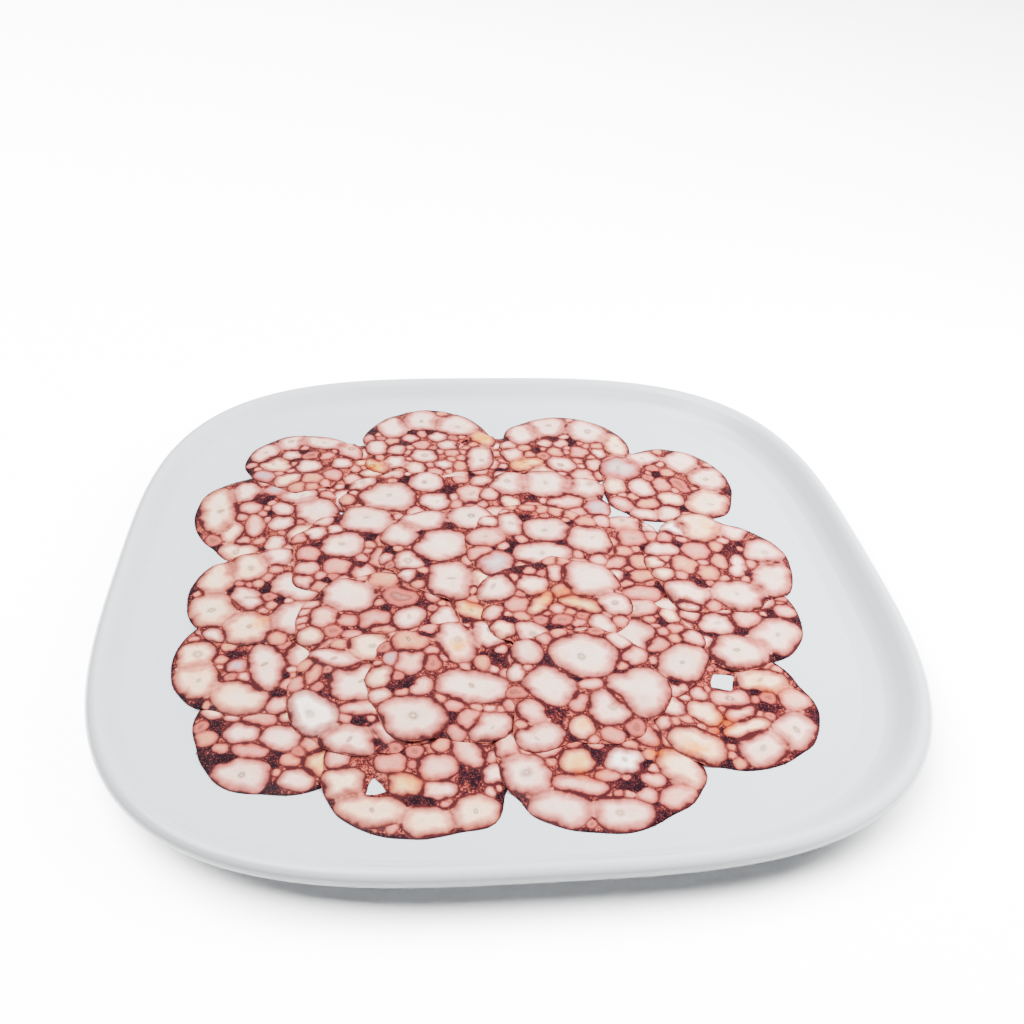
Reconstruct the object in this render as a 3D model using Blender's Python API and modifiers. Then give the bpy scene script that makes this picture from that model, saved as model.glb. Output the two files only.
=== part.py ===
"""Octopus carpaccio on its plate: thin round slices of pressed, cooked octopus laid over one another.

Metres, +Z up. The origin is at the bottom centre of the plate, whose sides run along X and Y.
The plate is a turned profile drawn out to a soft square, and each slice is a thin sheet that is
draped over the plate and the slices under it, then given its thickness.
"""

import math

import bmesh
import bpy
import numpy as np

MM = 0.001

# Plate: half its width, how square its outline is, and the heights of its profile.
PLATE_HALF = 150 * MM
PLATE_SQUARENESS = 3.25
PLATE_STEPS = 64
RIM_HEIGHT = 18.5 * MM
FLOOR_HEIGHT = 7.0 * MM
FLOOR_UNDERSIDE = 2.5 * MM
FOOT_INSET = 55 * MM
FOOT_WIDTH = 7 * MM

# Slices: thickness, the air under each, and how finely a slice is divided.
SLICE_THICKNESS = 0.95 * MM
SLICE_GAP = 0.31 * MM
SLICE_STEPS = 22
SLICE_RINGS = (0.34, 0.68, 1.0)
WAVINESS = 0.022

# The slices in the order they are laid: centre x, centre y, half-width x, half-width y, all in mm.
SLICES = (
    (-56.0, 73.5, 29.0, 29.0),
    (3.0, 79.5, 29.0, 29.0),
    (-97.0, 46.0, 31.3, 31.0),
    (-84.5, 86.0, 26.5, 26.0),
    (-27.0, 102.0, 32.0, 31.0),
    (38.0, 95.6, 32.5, 31.0),
    (80.4, 64.6, 31.0, 31.0),
    (-80.4, -79.0, 30.5, 30.5),
    (-37.0, -98.0, 31.0, 30.5),
    (24.0, -98.6, 35.5, 31.5),
    (74.0, -75.5, 31.3, 31.0),
    (84.0, -30.0, 30.8, 30.8),
    (-93.0, -45.5, 30.3, 30.3),
    (-92.0, -8.4, 31.0, 31.0),
    (47.0, 6.0, 30.5, 30.5),
    (90.0, 4.0, 32.0, 31.5),
    (-35.6, 46.0, 31.0, 31.0),
    (22.0, 44.0, 31.0, 31.0),
    (-56.0, 17.0, 31.0, 31.0),
    (-20.0, -22.0, 31.0, 31.0),
    (-50.0, -28.0, 31.0, 31.0),
    (-50.0, -64.0, 31.0, 31.0),
    (42.0, -45.0, 31.0, 31.0),
    (-20.0, 16.0, 31.0, 31.0),
    (17.0, 17.0, 31.5, 31.5),
    (-24.0, -59.0, 31.0, 31.0),
    (18.0, -21.0, 31.0, 31.0),
    (24.0, -64.4, 30.5, 30.5),
)

# The height map that the slices are laid on: its spacing, and how a sheet settles on it.
MAP_SPACING = 1.0 * MM
SETTLE_ROUNDS = 40
SMOOTH_ROUNDS = 3
FACET_ALLOWANCE = 1.03

PORCELAIN = (0.80, 0.82, 0.83)
OCTOPUS_PALE = (0.78, 0.63, 0.58)
OCTOPUS_PINK = (0.66, 0.42, 0.38)


def clear_scene():
    for obj in list(bpy.data.objects):
        bpy.data.objects.remove(obj)


def make_collection(name):
    collection = bpy.data.collections.new(name)
    bpy.context.scene.collection.children.link(collection)
    return collection


def make_material(name, color, roughness):
    material = bpy.data.materials.new(name)
    material.use_nodes = True
    shader = material.node_tree.nodes["Principled BSDF"]
    shader.inputs["Base Color"].default_value = (*color, 1.0)
    shader.inputs["Roughness"].default_value = roughness
    shader.inputs["Metallic"].default_value = 0.0
    return material


def plate_profile():
    """Points (inset from the outline, height), from the middle of the floor over the rim to the foot."""
    half = PLATE_HALF
    foot_out = FOOT_INSET
    foot_in = FOOT_INSET + FOOT_WIDTH
    lip = RIM_HEIGHT
    return (
        (half, FLOOR_HEIGHT),
        (70 * MM, FLOOR_HEIGHT),
        (38 * MM, FLOOR_HEIGHT + 0.1 * MM),
        (22 * MM, FLOOR_HEIGHT + 0.5 * MM),
        (15 * MM, FLOOR_HEIGHT + 1.7 * MM),
        (10.5 * MM, FLOOR_HEIGHT + 4.4 * MM),
        (7.5 * MM, lip - 3.6 * MM),
        (5.2 * MM, lip - 1.0 * MM),
        (3.4 * MM, lip),
        (1.5 * MM, lip - 0.5 * MM),
        (0.0, lip - 2.4 * MM),
        (0.3 * MM, lip - 4.3 * MM),
        (1.9 * MM, lip - 5.9 * MM),
        (12 * MM, lip - 8.6 * MM),
        (34 * MM, FLOOR_UNDERSIDE + 1.8 * MM),
        (foot_out - 1.5 * MM, FLOOR_UNDERSIDE),
        (foot_out, 0.0),
        (foot_in, 0.0),
        (foot_in + 1.5 * MM, FLOOR_UNDERSIDE),
        (half, FLOOR_UNDERSIDE),
    )


def squareness(angle):
    """How far the outline stands out from a circle of the same half-width, in this direction."""
    across = abs(math.cos(angle)) ** PLATE_SQUARENESS
    along = abs(math.sin(angle)) ** PLATE_SQUARENESS
    return (across + along) ** (-1 / PLATE_SQUARENESS)


def make_plate(collection, material):
    mesh = bpy.data.meshes.new("plate_profile")
    points = [(PLATE_HALF - inset, 0, height) for inset, height in plate_profile()]
    mesh.from_pydata(points, [(i, i + 1) for i in range(len(points) - 1)], [])
    turned = bpy.data.objects.new("plate_profile", mesh)
    collection.objects.link(turned)
    screw = turned.modifiers.new("Turn", "SCREW")
    screw.axis = "Z"
    screw.steps = screw.render_steps = PLATE_STEPS
    screw.use_merge_vertices = True
    screw.merge_threshold = 0.01 * MM
    graph = bpy.context.evaluated_depsgraph_get()
    body = bpy.data.meshes.new_from_object(turned.evaluated_get(graph))
    bpy.data.objects.remove(turned)
    for vertex in body.vertices:
        factor = squareness(math.atan2(vertex.co.y, vertex.co.x))
        vertex.co.x *= factor
        vertex.co.y *= factor
    plate = bpy.data.objects.new("plate", body)
    body.shade_smooth()
    body.set_sharp_from_angle(angle=math.radians(50))
    body.materials.append(material)
    collection.objects.link(plate)
    return plate


def plate_top(x, y):
    """Height of the plate's upper surface at each point, read off its profile."""
    angle = np.arctan2(y, x)
    across = np.abs(np.cos(angle)) ** PLATE_SQUARENESS
    along = np.abs(np.sin(angle)) ** PLATE_SQUARENESS
    radius = np.hypot(x, y) * (across + along) ** (1 / PLATE_SQUARENESS)
    upper = plate_profile()[:9]
    radii = [PLATE_HALF - inset for inset, height in upper]
    heights = [height for inset, height in upper]
    return np.interp(radius, radii, heights)


def slice_outline(index, angle):
    """The slice's rim at this angle, as a share of its half-width: round, with a few soft waves."""
    rng = np.random.default_rng(index)
    share = 1.0
    for waves in (2, 3, 5, 8):
        share += WAVINESS * 1.6 / waves * math.sin(waves * angle + rng.uniform(0, math.tau))
    return share


def flat_sheet(index, x, y, half_x, half_y):
    """A flat round sheet, spun from its centre outwards and drawn to the slice's outline."""
    sheet = bmesh.new()
    spoke = [sheet.verts.new((radius, 0, 0)) for radius in (0, *SLICE_RINGS)]
    for inner, outer in zip(spoke, spoke[1:]):
        sheet.edges.new((inner, outer))
    bmesh.ops.spin(
        sheet,
        geom=sheet.verts[:] + sheet.edges[:],
        cent=(0, 0, 0),
        axis=(0, 0, 1),
        angle=math.tau,
        steps=SLICE_STEPS,
        use_merge=True,
    )
    bmesh.ops.remove_doubles(sheet, verts=sheet.verts, dist=0.001)
    bmesh.ops.triangulate(sheet, faces=sheet.faces)
    bmesh.ops.recalc_face_normals(sheet, faces=sheet.faces)
    for vertex in sheet.verts:
        share = slice_outline(index, math.atan2(vertex.co.y, vertex.co.x))
        vertex.co.x = x + vertex.co.x * share * half_x
        vertex.co.y = y + vertex.co.y * share * half_y
    if sum(face.normal.z for face in sheet.faces) < 0:
        bmesh.ops.reverse_faces(sheet, faces=sheet.faces)
    return sheet


def map_points_under(corners, spacing, half_cells):
    """The map points inside one triangle, and their weights on its three corners."""
    low = np.floor(corners.min(axis=0) / spacing).astype(int)
    high = np.ceil(corners.max(axis=0) / spacing).astype(int)
    column, row = np.meshgrid(np.arange(low[0], high[0] + 1), np.arange(low[1], high[1] + 1))
    column, row = column.ravel(), row.ravel()
    edges = np.column_stack((corners[1] - corners[0], corners[2] - corners[0]))
    offsets = np.column_stack((column, row)) * spacing - corners[0]
    second, third = np.linalg.solve(edges, offsets.T)
    weights = np.column_stack((1 - second - third, second, third))
    inside = weights.min(axis=1) >= -0.05
    return column[inside] + half_cells, row[inside] + half_cells, weights[inside]


def settle(sheet, ground):
    """Lays the sheet on the height map, then raises the map to the top of the slice."""
    sheet.verts.index_update()
    flat = np.array([vertex.co[:2] for vertex in sheet.verts])
    half_cells = ground.shape[0] // 2
    columns, rows, weights, corners = [], [], [], []
    for face in sheet.faces:
        index = [vertex.index for vertex in face.verts]
        column, row, weight = map_points_under(flat[index], MAP_SPACING, half_cells)
        columns.append(column)
        rows.append(row)
        weights.append(weight)
        corners.append(np.tile(index, (len(column), 1)))
    column, row = np.concatenate(columns), np.concatenate(rows)
    weight, corner = np.concatenate(weights), np.concatenate(corners)
    need = ground[row, column] + SLICE_GAP

    height = np.full(len(flat), need.min())
    links = np.array([[vertex.index for vertex in edge.verts] for edge in sheet.edges])
    for step in range(SETTLE_ROUNDS):
        if step < SMOOTH_ROUNDS:
            total = np.zeros(len(flat))
            count = np.zeros(len(flat))
            for near, far in (links.T, links.T[::-1]):
                np.add.at(total, near, height[far])
                np.add.at(count, near, 1)
            height = np.maximum(height, total / count)
        short = need - (weight * height[corner]).sum(axis=1)
        lift = np.zeros(len(flat))
        for side in range(3):
            np.maximum.at(lift, corner[:, side], short)
        height += lift
    for vertex in sheet.verts:
        vertex.co.z = height[vertex.index]
    top = (weight * height[corner]).sum(axis=1) + SLICE_THICKNESS * FACET_ALLOWANCE
    np.maximum.at(ground, (row, column), top)


def make_slice(index, spec, ground, collection, material):
    x, y, half_x, half_y = (value * MM for value in spec)
    sheet = flat_sheet(index, x, y, half_x, half_y)
    settle(sheet, ground)
    name = f"slice_{index + 1:02d}"
    mesh = bpy.data.meshes.new(name)
    sheet.to_mesh(mesh)
    sheet.free()
    mesh.materials.append(material)
    obj = bpy.data.objects.new(name, mesh)
    collection.objects.link(obj)
    solidify = obj.modifiers.new("Thickness", "SOLIDIFY")
    solidify.thickness = SLICE_THICKNESS
    solidify.offset = 1.0
    return obj


def main():
    clear_scene()
    collection = make_collection("octopus_carpaccio")
    make_plate(collection, make_material("glazed_porcelain", PORCELAIN, 0.15))

    half_cells = round(PLATE_HALF / MAP_SPACING)
    line = np.arange(-half_cells, half_cells + 1) * MAP_SPACING
    ground = plate_top(*np.meshgrid(line, line))
    for index, spec in enumerate(SLICES):
        color = OCTOPUS_PALE if index % 2 else OCTOPUS_PINK
        material = make_material(f"octopus_{index + 1:02d}", color, 0.45)
        make_slice(index, spec, ground, collection, material)


main()
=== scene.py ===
import math

import bpy
import numpy as np
from mathutils import Matrix, Vector
from mathutils.geometry import delaunay_2d_cdt


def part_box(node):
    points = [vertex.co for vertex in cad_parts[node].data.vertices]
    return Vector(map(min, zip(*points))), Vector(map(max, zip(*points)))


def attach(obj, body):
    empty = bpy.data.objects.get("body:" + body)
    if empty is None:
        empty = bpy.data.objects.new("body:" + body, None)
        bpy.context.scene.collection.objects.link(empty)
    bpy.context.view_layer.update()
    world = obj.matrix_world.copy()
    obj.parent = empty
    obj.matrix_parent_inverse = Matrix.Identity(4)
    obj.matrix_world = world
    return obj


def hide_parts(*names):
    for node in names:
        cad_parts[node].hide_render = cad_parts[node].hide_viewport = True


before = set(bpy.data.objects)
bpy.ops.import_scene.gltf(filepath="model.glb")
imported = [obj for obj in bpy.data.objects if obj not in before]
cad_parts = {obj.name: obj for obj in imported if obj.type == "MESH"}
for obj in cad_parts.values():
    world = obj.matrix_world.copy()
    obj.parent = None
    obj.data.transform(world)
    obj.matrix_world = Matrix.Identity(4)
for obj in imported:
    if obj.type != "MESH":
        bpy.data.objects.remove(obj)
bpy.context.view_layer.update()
mm = 0.001  # lengths in this file are millimetres until a mesh is made


# sRGB hex to the linear colour that a shader socket takes
def linear(hexCode):
    channels = [int(hexCode[i : i + 2], 16) / 255 for i in (1, 3, 5)]
    return (*(c / 12.92 if c < 0.0405 else ((c + 0.055) / 1.055) ** 2.4 for c in channels), 1.0)


# adds a node: inputs are values, sockets or whole nodes, and settings are the node's own properties
def addNode(tree, kind, inputs=None, **settings):
    node = tree.nodes.new(kind)
    for name, value in settings.items():
        setattr(node, name, value)
    for name, value in (inputs or {}).items():
        if isinstance(value, bpy.types.Node):
            value = next(socket for socket in value.outputs if socket.enabled)
        if isinstance(value, bpy.types.NodeSocket):
            tree.links.new(value, node.inputs[name])
        else:
            node.inputs[name].default_value = value
    return node


# scale of a noise whose patches are this many millimetres across
def patchScale(size):
    return 1 / (size * mm)


def newMaterial(name):
    material = bpy.data.materials.new(name)
    material.use_nodes = True
    tree = material.node_tree
    return material, tree, tree.nodes["Principled BSDF"]


# runs a geometry tree on a mesh and returns the result as a plain mesh
def runTree(tree, mesh, name, values):
    carrier = bpy.data.objects.new(name, mesh)
    bpy.context.scene.collection.objects.link(carrier)
    modifier = carrier.modifiers.new(name, "NODES")
    modifier.node_group = tree
    for socket in tree.interface.items_tree:
        if socket.name in values:
            modifier[socket.identifier] = values[socket.name]
    graph = bpy.context.evaluated_depsgraph_get()
    result = bpy.data.meshes.new_from_object(carrier.evaluated_get(graph))
    carrier.modifiers.remove(modifier)
    bpy.data.objects.remove(carrier)
    return result


def newTree(name, inputs):
    tree = bpy.data.node_groups.new(name, "GeometryNodeTree")
    tree.interface.new_socket("Geometry", in_out="INPUT", socket_type="NodeSocketGeometry")
    for label, kind in inputs:
        tree.interface.new_socket(label, in_out="INPUT", socket_type="NodeSocket" + kind)
    tree.interface.new_socket("Geometry", in_out="OUTPUT", socket_type="NodeSocketGeometry")
    return tree, tree.nodes.new("NodeGroupInput").outputs, tree.nodes.new("NodeGroupOutput").inputs


# the camera, the lights and the floor
view = {
    "eye": (-40.0, -339.0, 278.5),
    "aim": (8.73, 50.11, 3.5),
    "roll": 3.076,  # degrees
    "lens": 37.907,
}


def setCamera():
    eye, aim = Vector(view["eye"]) * mm, Vector(view["aim"]) * mm
    ahead = (aim - eye).normalized()
    right = ahead.cross(Vector((0, 0, 1))).normalized()
    up = right.cross(ahead)
    roll = math.radians(view["roll"])
    across = right * math.cos(roll) + up * math.sin(roll)
    rise = up * math.cos(roll) - right * math.sin(roll)
    camera = bpy.data.objects.new("camera", bpy.data.cameras.new("camera"))
    camera.data.lens = view["lens"]
    camera.data.sensor_width = 36
    camera.data.clip_start = 0.01
    camera.matrix_world = Matrix((across, rise, -ahead)).transposed().to_4x4()
    camera.location = eye
    bpy.context.scene.collection.objects.link(camera)
    bpy.context.scene.camera = camera


studio = {
    "ambient": 0.4,
    "ambientColour": "#fbfbff",
    "lamps": [  # place in metres, width in metres, watts, what it lights
        ((0.42, 0.04, 0.42), 0.36, 15.0, "matt"),
        ((-0.4, 0.05, 1.0), 0.7, 27.0, "all"),
        ((-0.8, 0.3, 2.0), 2.3, 960.0, "floor"),
    ],
    "floorWidth": 6.0,
    "floorDrop": 0.05,  # millimetres under the foot
}


def setStudio():
    world = bpy.data.worlds.new("studio")
    world.use_nodes = True
    bpy.context.scene.world = world
    background = world.node_tree.nodes["Background"]
    background.inputs["Color"].default_value = linear(studio["ambientColour"])
    background.inputs["Strength"].default_value = studio["ambient"]
    half = studio["floorWidth"] / 2
    mesh = bpy.data.meshes.new("floor")
    corners = [(-half, -half), (half, -half), (half, half), (-half, half)]
    mesh.from_pydata([(x, y, -studio["floorDrop"] * mm) for x, y in corners], [], [(0, 1, 2, 3)])
    floor = bpy.data.objects.new("floor", mesh)
    bpy.context.scene.collection.objects.link(floor)
    floor.visible_diffuse = False  # the bright paper throws no light back up under the plate
    floorOnly = bpy.data.collections.new("floorOnly")
    floorOnly.objects.link(floor)
    for number, (place, width, watts, lights) in enumerate(studio["lamps"]):
        lamp = bpy.data.lights.new(f"softbox{number}", "AREA")
        lamp.energy, lamp.size = watts, width
        holder = bpy.data.objects.new(lamp.name, lamp)
        holder.location = place
        holder.rotation_euler = (-Vector(place)).to_track_quat("-Z", "Y").to_euler()
        bpy.context.scene.collection.objects.link(holder)
        if lights == "floor":
            holder.light_linking.receiver_collection = floorOnly
        holder.visible_glossy = lights != "matt"
    # matt white paper: no sheen, only a very faint cloudiness
    material, tree, shader = newMaterial("paperSweep")
    fleck = addNode(tree, "ShaderNodeTexNoise", {"Scale": patchScale(333.3)})
    values = {0: fleck, 6: linear("#e6e6e6"), 7: linear("#ececec")}
    tint = addNode(tree, "ShaderNodeMix", values, data_type="RGBA")
    tree.links.new(tint.outputs[2], shader.inputs["Base Color"])
    shader.inputs["Roughness"].default_value = 1.0
    shader.inputs["Specular IOR Level"].default_value = 0.0
    mesh.materials.append(material)


setCamera()
setStudio()
print("studio ready")


# the plate: a soft-square dish turned from one profile
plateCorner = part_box("plate")[1] / mm
plate = {
    "half": plateCorner.x,
    "rim": plateCorner.z,
    "floor": 7.0,
    "underside": 2.5,
    "squareness": 3.25,  # power of the outline's curve: 2 is round
    "stepsAround": 288,
    "stepsPerPoint": 5,
    "pointsToLip": 9,
}

# inset from the outline and height, from the middle of the floor over the rim to the middle underneath
plateProfile = (
    (plate["half"], plate["floor"]),
    (110, plate["floor"]),
    (70, plate["floor"]),
    (38, plate["floor"] + 0.1),
    (22, plate["floor"] + 0.5),
    (15, plate["floor"] + 1.7),
    (10.5, plate["floor"] + 4.4),
    (7.5, plate["rim"] - 3.6),
    (5.2, plate["rim"] - 1.0),
    (3.4, plate["rim"]),
    (1.5, plate["rim"] - 0.5),
    (0.0, plate["rim"] - 2.4),
    (0.3, plate["rim"] - 4.3),
    (1.9, plate["rim"] - 5.9),
    (12, plate["rim"] - 8.6),
    (34, plate["underside"] + 1.8),
    (52, plate["underside"] + 0.1),
    (54.2, 0.8),
    (55.6, 0.1),
    (58.5, 0.0),
    (61.4, 0.1),
    (62.8, 0.8),
    (65, plate["underside"] + 0.1),
    (105, plate["underside"]),
    (plate["half"], plate["underside"]),
)


# a smooth line through the points, tangents taken from each point's neighbours
def smoothLine(points, steps):
    points = np.array(points, float)
    span = np.linalg.norm(np.diff(points, axis=0), axis=1)
    lean = np.diff(points, axis=0) / span[:, None]
    middle = (lean[:-1] * span[1:, None] + lean[1:] * span[:-1, None]) / (span[:-1] + span[1:])[:, None]
    tangent = np.vstack((lean[:1], middle, lean[-1:]))
    line = []
    for i, length in enumerate(span):
        for t in np.arange(steps) / steps:
            line.append(
                (2 * t**3 - 3 * t**2 + 1) * points[i]
                + (t**3 - 2 * t**2 + t) * length * tangent[i]
                + (3 * t**2 - 2 * t**3) * points[i + 1]
                + (t**3 - t**2) * length * tangent[i + 1]
            )
    return np.maximum(np.array(line + [points[-1]]), 0.0)


profileLine = smoothLine(plateProfile, plate["stepsPerPoint"])


def plateTree():
    inputs = [("Steps Around", "Int"), ("Profile Points", "Int")]
    inputs += [("Squareness", "Float"), ("Glaze", "Material")]
    tree, given, made = newTree("turnedPlate", inputs)
    place = addNode(tree, "GeometryNodeInputPosition")
    values = {"Geometry": given["Geometry"], "Value": place}
    sample = addNode(tree, "GeometryNodeSampleIndex", values, data_type="FLOAT_VECTOR")
    spot = addNode(tree, "ShaderNodeSeparateXYZ", {0: sample})
    field = {
        "index": addNode(tree, "GeometryNodeInputIndex"),
        "steps": given["Steps Around"],
        "points": given["Profile Points"],
        "power": given["Squareness"],
        "radius": spot.outputs["X"],
    }
    for name, operation, *parts in (
        ("share", "DIVIDE", "index", "points"),
        ("ring", "FLOOR", "share"),
        ("row", "MODULO", "index", "points"),
        ("turns", "DIVIDE", "ring", "steps"),
        ("angle", "MULTIPLY", "turns", math.tau),
        ("east", "COSINE", "angle"),
        ("eastSize", "ABSOLUTE", "east"),
        ("eastPower", "POWER", "eastSize", "power"),
        ("north", "SINE", "angle"),
        ("northSize", "ABSOLUTE", "north"),
        ("northPower", "POWER", "northSize", "power"),
        ("total", "ADD", "eastPower", "northPower"),
        ("inverse", "DIVIDE", -1.0, "power"),
        ("stretch", "POWER", "total", "inverse"),
        ("reach", "MULTIPLY", "stretch", "radius"),
        ("x", "MULTIPLY", "reach", "east"),
        ("y", "MULTIPLY", "reach", "north"),
        ("around", "ADD", "steps", 1.0),
    ):
        values = {slot: field.get(part, part) for slot, part in enumerate(parts)}
        field[name] = addNode(tree, "ShaderNodeMath", values, operation=operation)
    tree.links.new(field["row"].outputs[0], sample.inputs["Index"])
    target = addNode(tree, "ShaderNodeCombineXYZ", {0: field["x"], 1: field["y"], 2: spot.outputs["Z"]})
    values = {"Vertices X": field["around"], "Vertices Y": field["points"]}
    grid = addNode(tree, "GeometryNodeMeshGrid", values)
    turned = addNode(tree, "GeometryNodeSetPosition", {"Geometry": grid, "Position": target})
    sealed = addNode(tree, "GeometryNodeMergeByDistance", {"Geometry": turned, "Distance": 0.01 * mm})
    outward = addNode(tree, "GeometryNodeFlipFaces", {"Mesh": sealed})
    smooth = addNode(tree, "GeometryNodeSetShadeSmooth", {"Geometry": outward})
    real = addNode(tree, "GeometryNodeRealizeInstances", {"Geometry": smooth})
    dressed = addNode(tree, "GeometryNodeSetMaterial", {"Geometry": real, "Material": given["Glaze"]})
    tree.links.new(dressed.outputs[0], made["Geometry"])
    return tree


# glazed hard porcelain: a cool white body under clear glaze, which gives soft wide reflections,
# and a crisp highlight along the lip that is painted in as a whiter colour where the surface bends sharply
def makeGlaze():
    material, tree, shader = newMaterial("whiteGlazedPorcelain")
    where = addNode(tree, "ShaderNodeTexCoord").outputs["Object"]
    values = {"Vector": where, "Scale": patchScale(111.1), "Detail": 2.0}
    pooling = addNode(tree, "ShaderNodeTexNoise", values)
    values = {0: pooling, 6: linear("#bec4c9"), 7: linear("#c5cbcf")}
    body = addNode(tree, "ShaderNodeMix", values, data_type="RGBA")
    # painted highlight: the lip is painted whiter where the surface bends sharply, standing in for a
    # highlight along it
    bend = addNode(tree, "ShaderNodeNewGeometry").outputs["Pointiness"]
    values = {"Value": bend, "From Min": 0.5, "From Max": 0.56, "To Max": 0.6}
    thin = addNode(tree, "ShaderNodeMapRange", values)
    # mixes the painted lip highlight over the body colour
    glaze = addNode(tree, "ShaderNodeMix", {0: thin, 6: body, 7: linear("#dcdfe0")}, data_type="RGBA")
    tree.links.new(glaze.outputs[2], shader.inputs["Base Color"])
    values = {"Vector": where, "Scale": patchScale(22.22), "Detail": 1.0}
    ripple = addNode(tree, "ShaderNodeTexNoise", values)
    bump = addNode(tree, "ShaderNodeBump", {"Height": ripple, "Strength": 0.04, "Distance": 0.4 * mm})
    tree.links.new(bump.outputs[0], shader.inputs["Normal"])
    shader.inputs["Roughness"].default_value = 0.22
    shader.inputs["IOR"].default_value = 1.5
    return material


def makePlate():
    mesh = bpy.data.meshes.new("plateProfile")
    line = [((plate["half"] - inset) * mm, 0, height * mm) for inset, height in profileLine]
    mesh.from_pydata(line, [(i, i + 1) for i in range(len(line) - 1)], [])
    values = {
        "Steps Around": plate["stepsAround"],
        "Profile Points": len(line),
        "Squareness": plate["squareness"],
        "Glaze": makeGlaze(),
    }
    turned = runTree(plateTree(), mesh, "plateDish", values)
    dish = bpy.data.objects.new("plateDish", turned)
    bpy.context.scene.collection.objects.link(dish)
    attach(dish, "root")
    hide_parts("plate")


# height of the dish's upper side
def plateTop(x, y):
    power = plate["squareness"]
    angle = np.arctan2(y, x)
    bulge = np.abs(np.cos(angle)) ** power + np.abs(np.sin(angle)) ** power
    radius = np.hypot(x, y) * bulge ** (1 / power)
    upper = profileLine[: plate["pointsToLip"] * plate["stepsPerPoint"] + 1]
    return np.interp(radius, plate["half"] - upper[:, 0], upper[:, 1])


makePlate()
print("plate ready")


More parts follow.
